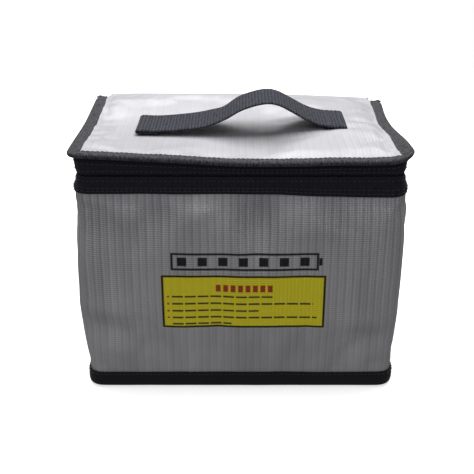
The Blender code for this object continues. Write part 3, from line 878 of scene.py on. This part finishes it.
# ---------------------------------------------------------------------------------------------------------
# Zip chain. Two coils of black nylon filament, each sewn behind the edge of its tape, so that their turns
# show only from inside the case. Each turn is one flat loop.
# ---------------------------------------------------------------------------------------------------------
COIL_PITCH = 0.00125
COIL_WIRE = 0.00028
COIL_DEPTH = 0.00215
COIL_STOP = 0.0030

chain_end = front_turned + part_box("lid_zip_coil")[1].y - (-half_depth + FRONT_RADIUS)


def repeat(name, unit, frames):
    """One piece that holds a copy of the unit's mesh at each frame, and nothing else."""
    shape = [vertex.co.copy() for vertex in unit.data.vertices]
    sides = [tuple(polygon.vertices) for polygon in unit.data.polygons]
    points, faces = [], []
    for frame_matrix in frames:
        first = len(points)
        points += [frame_matrix @ point for point in shape]
        faces += [[first + corner for corner in side] for side in sides]
    mesh = bpy.data.meshes.new(name)
    mesh.from_pydata(points, [], faces)
    piece = bpy.data.objects.new(name, mesh)
    bpy.context.collection.objects.link(piece)
    mesh.shade_smooth()
    bpy.data.objects.remove(unit)
    return piece


def frame_at(place, along, out):
    """A matrix whose X runs along, whose Z points out, and whose centre is place."""
    across = out.cross(along).normalized()
    turned = Matrix((along, across, out)).transposed().to_4x4()
    return Matrix.Translation(place) @ turned


def frame_on(surface, s, t, lift):
    """The frame of a surface at (s, t), lifted off it."""
    step = 0.0001
    here = surface(s, t, lift)
    along = (surface(s + step, t, lift) - here).normalized()
    out = (surface(s, t, lift + step) - here).normalized()
    return frame_at(here, along, out)


def chain_face(s, z, lift):
    """An upright face along the case's outline, which the chain follows."""
    return Vector((*round_the_case(s, lift), z))


chain_nylon, tree, shader = new_material("black_nylon_filament")
grain = speckle(tree, add_node(tree, "TexCoord", output="Object"), 1500)
black = {0: grain, 6: linear("#15151a"), 7: linear("#24242b")}
colour = add_node(tree, "Mix", black, 2, data_type="RGBA")
dullness = add_node(tree, "MapRange", {0: grain, 1: 0.3, 2: 0.7, 3: 0.30, 4: 0.42})
fill(tree, shader, {"Base Color": colour, "Roughness": dullness})

for node, body in (("lid_zip_coil", "lid"), ("body_zip_coil", "case")):
    low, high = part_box(node)
    bpy.ops.object.select_all(action="DESELECT")
    bpy.ops.mesh.primitive_torus_add(major_segments=10, minor_segments=5, major_radius=0.001,
                                     minor_radius=COIL_WIRE)
    turn = bpy.context.object
    for vertex in turn.data.vertices:
        lean = 0.25 * vertex.co.y
        vertex.co = Vector((0.9 * vertex.co.z + lean, 1.05 * vertex.co.y, 0.42 * vertex.co.x))
    turns = int(2 * (chain_end - COIL_STOP) / COIL_PITCH)
    frames = [frame_on(chain_face, (i - turns / 2 + 0.5) * COIL_PITCH, (low.z + high.z) / 2, -COIL_DEPTH)
              for i in range(turns)]
    coil = repeat(node.replace("zip_coil", "chain_coil"), turn, frames)
    coil.data.materials.append(chain_nylon)
    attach(coil, body)
    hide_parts(node)


# ---------------------------------------------------------------------------------------------------------
# Chain ends. A tab of the same tape is sewn over each end of the chain. Past it a gusset of zip tape closes
# the back corner: one edge goes behind the lid's tape, one under the back, and its top turns in.
# ---------------------------------------------------------------------------------------------------------
GUSSET_SAG = 0.0005
GUSSET_CELL = 0.0010
GUSSET_TONGUE = 0.0025
GUSSET_CAP = 0.0032
TAB_CELL = 0.0008
TAB_LIFT = 0.0010
TAB_THICKNESS = 0.0007

for side, node_side in ((-1, "left"), (1, "right")):
    low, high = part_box(node_side + "_corner_gusset")
    gusset = flat_strip(node_side + "_gusset", side_end - GUSSET_TONGUE, body_tape_end,
                        low.z, high.z + GUSSET_CAP, GUSSET_CELL)
    for vertex in gusset.data.vertices:
        s, z = vertex.co.x, vertex.co.z
        up = min((z - low.z) / (high.z - low.z), 1)
        sag = through(BACK_LINE, side * half_width) * smooth_step(up, 0.2, 1.0) if side > 0 else 0
        out = -TAPE_RECESS - GUSSET_SAG * math.sin(math.pi * up)
        tongue = 1 - smooth_step(s, side_end - 0.0006, side_end + 0.0008)
        out -= (TAPE_THICKNESS + 0.0005 + (0.4 * RIGHT_PINCH * up if side > 0 else 0)) * tongue
        out -= UNDER_THE_BACK * smooth_step(s, wrap_end - 0.0016, wrap_end - 0.0002)
        on_corner = smooth_step(s, side_end + 0.0006, side_end + 0.0018)
        on_corner *= 1 - smooth_step(s, wrap_end - 0.0016, wrap_end)
        turned_over = max(z - high.z, 0)
        out -= turned_over * (0.15 + 0.85 * on_corner)
        vertex.co = Vector((*round_the_case(side * s, out), min(z, high.z) + 0.06 * turned_over + sag))
    if side < 0:
        gusset.data.flip_normals()
    thicken(gusset, TAPE_THICKNESS)
    gusset.data.materials.append(tape_cloth)
    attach(gusset, "case")
    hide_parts(node_side + "_corner_gusset")

    low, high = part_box(node_side + "_zip_end_tab")
    tab_start = front_turned + low.y - (-half_depth + FRONT_RADIUS)
    tab = flat_strip(node_side + "_chain_tab", tab_start, tab_start + high.y - low.y, low.z, high.z, TAB_CELL)
    move_points(tab, lambda p: body_tape_surface(side * p.x, p.z, TAB_LIFT))
    if side < 0:
        tab.data.flip_normals()
    thicken(tab, TAB_THICKNESS)
    tab.data.materials.append(tape_cloth)
    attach(tab, "case")
    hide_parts(node_side + "_zip_end_tab")


# ---------------------------------------------------------------------------------------------------------
# Base cloth. The case stands on one piece of the silver cloth, sewn into the base binding all round.
# ---------------------------------------------------------------------------------------------------------
BASE_CLOTH_THICKNESS = 0.0009
BASE_SET_IN = 0.0005
BASE_CELL = 0.0060
BASE_CORNER = 0.0075


def flat_cloth(name, low, high, cell, radius, height):
    """Cloth laid flat, face up, with round corners. height gives each point's Z. Its UV map is in metres."""
    bpy.ops.object.select_all(action="DESELECT")
    columns, rows = round((high[0] - low[0]) / cell), round((high[1] - low[1]) / cell)
    bpy.ops.mesh.primitive_grid_add(x_subdivisions=columns, y_subdivisions=rows, size=1,
                                    location=((low[0] + high[0]) / 2, (low[1] + high[1]) / 2, 0))
    cloth = bpy.context.object
    cloth.name = name
    cloth.scale = (high[0] - low[0], high[1] - low[1], 1)
    bpy.ops.object.transform_apply()
    layer = cloth.data.uv_layers.active
    for loop in cloth.data.loops:
        point = cloth.data.vertices[loop.vertex_index].co
        layer.data[loop.index].uv = (point.x, point.y)
    for vertex in cloth.data.vertices:
        x, y = vertex.co.x, vertex.co.y
        past_x = max(low[0] + radius - x, x - high[0] + radius, 0)
        past_y = max(low[1] + radius - y, y - high[1] + radius, 0)
        if past_x and past_y:
            share = max(past_x, past_y) / math.hypot(past_x, past_y)
            x -= math.copysign(past_x * (1 - share), x)
            y -= math.copysign(past_y * (1 - share), y)
        vertex.co = (x, y, height(x, y))
    return cloth


panel_low, panel_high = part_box("base_panel")


def base_wave(x, y):
    """The floor's cloth lifts a little off the table between its edges."""
    inside = (1 - (x / panel_high.x) ** 6) * (1 - (y / panel_high.y) ** 6)
    return 0.0010 + 0.0001 * ripple(x * 20, y * 20, 1.1) + 0.0002 * inside


base_cloth = flat_cloth("base_cloth", (panel_low.x + BASE_SET_IN, panel_low.y + BASE_SET_IN),
                        (panel_high.x - BASE_SET_IN, panel_high.y - BASE_SET_IN),
                        BASE_CELL, BASE_CORNER, base_wave)
thicken(base_cloth, BASE_CLOTH_THICKNESS)
base_cloth.data.materials.append(lid_and_back.data.materials[0])
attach(base_cloth, "case")
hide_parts("base_panel")


# ---------------------------------------------------------------------------------------------------------
# Lining. Plain glass-fibre cloth on the inside: one length round the walls, one on the back wall, one on the
# floor and one under the lid. It hangs a little loose.
# ---------------------------------------------------------------------------------------------------------
LINING_THICKNESS = 0.0010
LINING_CELL = 0.0045
LINING_RISE = 0.0022
LINING_YARN = 0.0028

glass_lining, tree, shader = new_material("woven_glass_fibre_lining")
position, along, up = cloth_axes(tree)
warp = waves(tree, along, LINING_YARN)
weft = waves(tree, up, LINING_YARN)
checks = add_node(tree, "Math", {0: warp, 1: weft}, operation="MULTIPLY")
clouds = speckle(tree, position, (160, 160, 1))
tone = add_node(tree, "Math", {0: clouds, 1: 0.4, 2: 0.3}, operation="MULTIPLY_ADD")
tone = add_node(tree, "Math", {0: checks, 1: 0.25, 2: tone}, operation="MULTIPLY_ADD")
tone = add_node(tree, "MapRange", {0: tone, 1: 0.25, 2: 0.75, 3: 0.0, 4: 1.0})
white = {0: tone, 6: linear("#bdbcb6"), 7: linear("#dddcd5")}
colour = add_node(tree, "Mix", white, 2, data_type="RGBA")
bump = add_node(tree, "Bump", {"Height": checks, "Strength": 0.5, "Distance": 0.0002})
fill(tree, shader, {"Base Color": colour, "Normal": bump, "Roughness": 0.8, "Sheen Weight": 0.15})

lining_low, lining_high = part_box("lining_wall")
lining_in = half_width - lining_high.x


def lining_surface(s, z, lift=0.0):
    """A point of the lining on the walls: s along the case's outline, at height z."""
    up = (z - lining_low.z) / (lining_high.z - lining_low.z)
    slack = math.sin(math.pi * min(max(up, 0), 1))
    out = -lining_in - 0.0001 + slack * (-0.0010 + 0.0006 * ripple(s * 22, z * 10, 4.9))
    out -= 0.0022 * smooth_step(abs(s), side_end - 0.004, wrap_end)
    return Vector((*round_the_case(s, out + lift), z))


lining_end = wrap_end + SEAM_TURN
lining_foot = lining_low.z + LINING_RISE
lining_wall = flat_strip("lining_walls", -lining_end, lining_end, lining_foot, lining_high.z, LINING_CELL)
move_points(lining_wall, lambda p: lining_surface(p.x, p.z))
thicken(lining_wall, LINING_THICKNESS)
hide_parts("lining_wall")

back_low, back_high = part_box("back_lining")
back_foot = back_low.z + LINING_RISE
back_lining = flat_strip("lining_back", back_low.x, back_high.x, back_foot, back_high.z, LINING_CELL)


def back_lining_place(point):
    """Where a point of the flat back lining goes: slack between its seams, and down with the fold."""
    slack = math.sin(math.pi * (point.z - back_low.z) / (back_high.z - back_low.z))
    slack *= 1 - (point.x / 0.1) ** 6
    drop = through(BACK_LINE, point.x) * smooth_step(point.z, 0.12, back_high.z)
    y = back_low.y + 0.0004 - 0.0007 * slack + 0.0004 * slack * ripple(point.x * 25, point.z * 15, 2)
    return Vector((point.x, y, point.z + min(drop, 0)))


move_points(back_lining, back_lining_place)
thicken(back_lining, LINING_THICKNESS)
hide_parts("back_lining")

floor_low, floor_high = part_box("base_lining")
base_lining = flat_cloth("lining_floor", (floor_low.x, floor_low.y), (floor_high.x, floor_high.y),
                         LINING_CELL, 0.005,
                         lambda x, y: floor_high.z - 0.0004 + 0.0003 * ripple(x * 25, y * 25, 6.6))
thicken(base_lining, LINING_THICKNESS)
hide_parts("base_lining")

under_low, under_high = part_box("lid_lining")


def lid_lining_height(x, y):
    """It follows the lid and hangs in a shallow bowl."""
    bowl = (1 - (x / under_high.x) ** 4) * (1 - ((y + 0.002) / 0.069) ** 4)
    hang = 0.0022 * bowl - 0.0005 * bowl * ripple(x * 22, y * 22, 3.8)
    return lid_rise(x, y) + under_high.z - 0.0002 - hang


lid_lining = flat_cloth("lining_lid", (under_low.x + 0.0006, under_low.y + 0.0006),
                        (under_high.x - 0.0040, under_high.y), LINING_CELL, 0.007, lid_lining_height)
for vertex in lid_lining.data.vertices:
    drawn = shape_lid(vertex.co) - vertex.co
    vertex.co.x += drawn.x
thicken(lid_lining, LINING_THICKNESS)
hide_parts("lid_lining")

for piece, body in ((lining_wall, "case"), (back_lining, "case"), (base_lining, "case"),
                    (lid_lining, "lid")):
    piece.data.materials.append(glass_lining)
    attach(piece, body)


# ---------------------------------------------------------------------------------------------------------
# Zip sliders. Two black painted zinc castings. Each is an outer and an inner plate joined by a thin web
# between the tapes, with a low bail outside that holds the pull.
# ---------------------------------------------------------------------------------------------------------
PLATE = 0.0012
PLATE_CORNER = 0.0028
SOFT_EDGE = 0.00025
BAIL_BAR = 0.0008
BAIL_RADIUS = 0.0022
BAIL_HEIGHT = 0.0026

painted_zinc, tree, shader = new_material("black_painted_cast_zinc")
grain = speckle(tree, add_node(tree, "TexCoord", output="Object"), 900, 5.0)
edges = add_node(tree, "NewGeometry", output="Pointiness")
edges = add_node(tree, "MapRange", {0: edges, 1: 0.53, 2: 0.60, 3: 0.0, 4: 1.0})
patches = add_node(tree, "MapRange", {0: grain, 1: 0.45, 2: 0.65, 3: 0.0, 4: 1.0})
worn = add_node(tree, "Math", {0: edges, 1: patches}, operation="MULTIPLY")
black = {0: grain, 6: linear("#1a1a1c"), 7: linear("#262628")}
paint = add_node(tree, "Mix", black, 2, data_type="RGBA")
bare = {0: worn, 6: paint, 7: linear("#77777a")}
colour = add_node(tree, "Mix", bare, 2, data_type="RGBA")
bump = add_node(tree, "Bump", {"Height": grain, "Strength": 0.15, "Distance": 0.0001})
fill(tree, shader, {"Base Color": colour, "Normal": bump, "Roughness": 0.34, "Coat Weight": 0.3})


def cast_block(low, high, corner, segments=4):
    """A block whose four edges along X are rounded when corner is not 0."""
    bpy.ops.object.select_all(action="DESELECT")
    middle, size = (low + high) / 2, high - low
    bpy.ops.mesh.primitive_cube_add(size=1, location=middle)
    made = bpy.context.object
    made.scale = size
    bpy.ops.object.transform_apply()
    if corner:
        bpy.ops.object.mode_set(mode="EDIT")
        bpy.ops.mesh.select_all(action="DESELECT")
        mesh = bmesh.from_edit_mesh(made.data)
        for edge in mesh.edges:
            run = edge.verts[0].co - edge.verts[1].co
            edge.select_set(abs(run.x) > 0.9 * run.length)
        bmesh.update_edit_mesh(made.data)
        bpy.ops.mesh.bevel(offset=corner, segments=segments)
        bpy.ops.object.mode_set(mode="OBJECT")
    return made


def soften(piece, width=SOFT_EDGE):
    """Rounds the piece's sharp edges."""
    rounded = piece.modifiers.new("soft_edges", "BEVEL")
    rounded.width = width
    rounded.segments = 2
    rounded.limit_method = "ANGLE"
    rounded.angle_limit = math.radians(50)
    apply_modifiers(piece)
    bpy.ops.object.shade_smooth_by_angle(angle=math.radians(40))


def join(name, parts):
    """Makes the parts into one piece of this name."""
    bpy.ops.object.select_all(action="DESELECT")
    for part in parts:
        part.select_set(True)
    bpy.context.view_layer.objects.active = parts[0]
    bpy.ops.object.join()
    bpy.context.object.name = name
    bpy.ops.object.transform_apply()
    return bpy.context.object


def zip_slider(name, node):
    """One slider, made in the space of its CAD node."""
    low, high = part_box(node)
    inner = cast_block(low, Vector((low.x + PLATE, high.y, high.z)), PLATE_CORNER)
    face = high.x - BAIL_HEIGHT
    outer = cast_block(Vector((face - PLATE, low.y, low.z)), Vector((face, high.y, high.z)), PLATE_CORNER)
    middle = (low + high) / 2
    web = cast_block(Vector((low.x + PLATE, middle.y - BAIL_RADIUS, middle.z - 0.0003)),
                     Vector((face - PLATE, middle.y + BAIL_RADIUS, middle.z + 0.0003)), 0)
    flange = cast_block(Vector((low.x + PLATE, low.y + 0.002, low.z)),
                        Vector((low.x + PLATE + 0.0015, high.y - 0.002, low.z + 0.0006)), 0)
    for plate in (inner, outer, web, flange):
        soften(plate)
    bpy.ops.object.select_all(action="DESELECT")
    bpy.ops.mesh.primitive_torus_add(location=(0, 0, 0), major_segments=28, minor_segments=10,
                                     major_radius=BAIL_RADIUS, minor_radius=BAIL_BAR / 2)
    bail = bpy.context.object
    stretch = BAIL_HEIGHT / (BAIL_RADIUS + BAIL_BAR / 2)
    for vertex in bail.data.vertices:
        x, y, z = vertex.co
        vertex.co = (face + max(x, -0.0004) * stretch, middle.y + y, middle.z + 2 * z)
    bpy.ops.object.shade_smooth()
    made = join(name, [outer, inner, web, flange, bail])
    made.data.materials.append(painted_zinc)
    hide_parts(node)
    return made


for node in ("front_slider", "rear_slider"):
    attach(zip_slider(node + "_casting", node), node)


# ---------------------------------------------------------------------------------------------------------
# Slider pulls. Flat die-cast tabs with a window at one end, through which the bail passes, and a grip of
# raised bars and a round hole towards the other end.
# ---------------------------------------------------------------------------------------------------------
PULL_BAR = 0.0011
PULL_WINDOW = 0.0044
PULL_FRAME = 0.0012
PULL_HOLE = 0.0012
GRIP_BARS = 4


def cut(piece, cutter):
    """Cuts the cutter's shape out of the piece, and removes the cutter."""
    difference = piece.modifiers.new("cut", "BOOLEAN")
    difference.object = cutter
    difference.operation = "DIFFERENCE"
    difference.solver = "EXACT"
    apply_modifiers(piece)
    bpy.data.objects.remove(cutter)


def slider_pull(name, node, towards):
    """One pull. It lies along the zip and points away from the other slider; towards is -1 or 1 along Y."""
    low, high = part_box(node)
    near, far = (high.y, low.y) if towards < 0 else (low.y, high.y)
    tab = cast_block(low, high, 0.0016)
    window = sorted((near + towards * PULL_BAR, near + towards * (PULL_BAR + PULL_WINDOW)))
    cut(tab, cast_block(Vector((low.x - 0.001, window[0], low.z + PULL_FRAME)),
                        Vector((high.x + 0.001, window[1], high.z - PULL_FRAME)), 0.0007))
    bpy.ops.object.select_all(action="DESELECT")
    hole = ((low.x + high.x) / 2, far - towards * 0.0026, (low.z + high.z) / 2)
    bpy.ops.mesh.primitive_cylinder_add(vertices=24, radius=PULL_HOLE, depth=0.004, location=hole,
                                        rotation=(0, math.pi / 2, 0))
    cut(tab, bpy.context.object)
    soften(tab)
    parts = [tab]
    for i in range(GRIP_BARS):
        y = near + towards * (PULL_BAR + PULL_WINDOW + 0.0024 + 0.0015 * i)
        bar = cast_block(Vector((low.x + 0.0002, y - 0.00035, low.z + 0.0012)),
                         Vector((high.x + 0.00025, y + 0.00035, high.z - 0.0012)), 0.0003, 2)
        soften(bar, 0.0001)
        parts.append(bar)
    made = join(name, parts)
    made.data.materials.append(painted_zinc)
    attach(made, node.replace("_slider_pull", "_pull"))
    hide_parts(node)


slider_pull("front_pull_tab", "front_slider_pull", -1)
slider_pull("rear_pull_tab", "rear_slider_pull", 1)


# ---------------------------------------------------------------------------------------------------------
# Stitching. Black polyester thread in a lockstitch holds every tape, the seams up the back and the strap's
# ends. Each stitch is a short raised bead that sinks at both ends.
# ---------------------------------------------------------------------------------------------------------
STITCH_PITCH = 0.0030
STITCH_LENGTH = 0.0023
THREAD = 0.00026

thread, tree, shader = new_material("black_polyester_thread")
fuzz = speckle(tree, add_node(tree, "TexCoord", output="Object"), 2500)
black = {0: fuzz, 6: linear("#16161d"), 7: linear("#292930")}
colour = add_node(tree, "Mix", black, 2, data_type="RGBA")
fill(tree, shader, {"Base Color": colour, "Roughness": 0.6, "Sheen Weight": 0.3})


def sew(name, body, seams):
    """One piece of stitching. Each seam is (surface, t, start, end), a run along the surface at t."""
    bpy.ops.object.select_all(action="DESELECT")
    bpy.ops.mesh.primitive_uv_sphere_add(segments=6, ring_count=5, radius=1)
    bead = bpy.context.object
    move_points(bead, lambda p: Vector((p.z * STITCH_LENGTH / 2, p.y * THREAD, p.x * THREAD)))
    frames = []
    for surface, t, start, end in seams:
        count = max(1, round((end - start) / STITCH_PITCH))
        pitch = (end - start) / count
        frames += [frame_on(surface, start + (i + 0.5) * pitch, t, THREAD * 0.35) for i in range(count)]
    stitches = repeat(name, bead, frames)
    stitches.data.materials.append(thread)
    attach(stitches, body)


lid_tape_seams = [(lid_tape_surface, lid_tape_low.z + up, -lid_tape_end + 0.001, lid_tape_end - 0.001)
                  for up in (0.0030, 0.0078)]
sew("lid_tape_stitches", "lid", lid_tape_seams)
sew("lid_binding_stitches", "lid",
    [(binding_surface, 0.0014, -binding_end + 0.002, binding_end - 0.002)])
body_tape_seams = [(body_tape_surface, body_tape_low.z + up, -side_end, side_end)
                   for up in (0.0012, 0.0030, 0.0070)]
sew("body_tape_stitches", "case", body_tape_seams)
sew("base_binding_stitches", "case",
    [(base_surface, base_high.z - 0.0016, -half_loop, half_loop)])


def back_surface(s, t, lift=0.0):
    """The back wall, with the seam's run first, for the seams up both its edges."""
    return lid_and_back_place(Vector((t, 0, s))) + Vector((0, lift, 0))


back_seam = LID_HALF_WIDTH - 0.0024
sew("back_seam_stitches", "case",
    [(back_surface, t, 0.012 - down_the_back, -0.004) for t in (-back_seam, back_seam)])

strap_top = FOLD_UNDER + math.pi * TURN_RADIUS


def strap_crossways(s, along, lift=0.0):
    """The strap's top face with its two directions exchanged, for seams that run across it."""
    return strap_surface(along, s, lift + STRAP_THICKNESS / 2)


def strap_lengthways(s, across, lift=0.0):
    """The strap's top face, for seams that run along it."""
    return strap_surface(s, across, lift + STRAP_THICKNESS / 2)


strap_seams = []
for near_end in (strap_top + 0.0025, strap_top + 0.0115, strap_length - strap_top - 0.0115,
                 strap_length - strap_top - 0.0025):
    strap_seams.append((strap_crossways, near_end, 0.002, STRAP_WIDTH - 0.002))
for start in (strap_top + 0.0025, strap_length - strap_top - 0.0115):
    for across in (0.002, STRAP_WIDTH - 0.002):
        strap_seams.append((strap_lengthways, across, start, start + 0.009))
sew("strap_stitches", "lid", strap_seams)
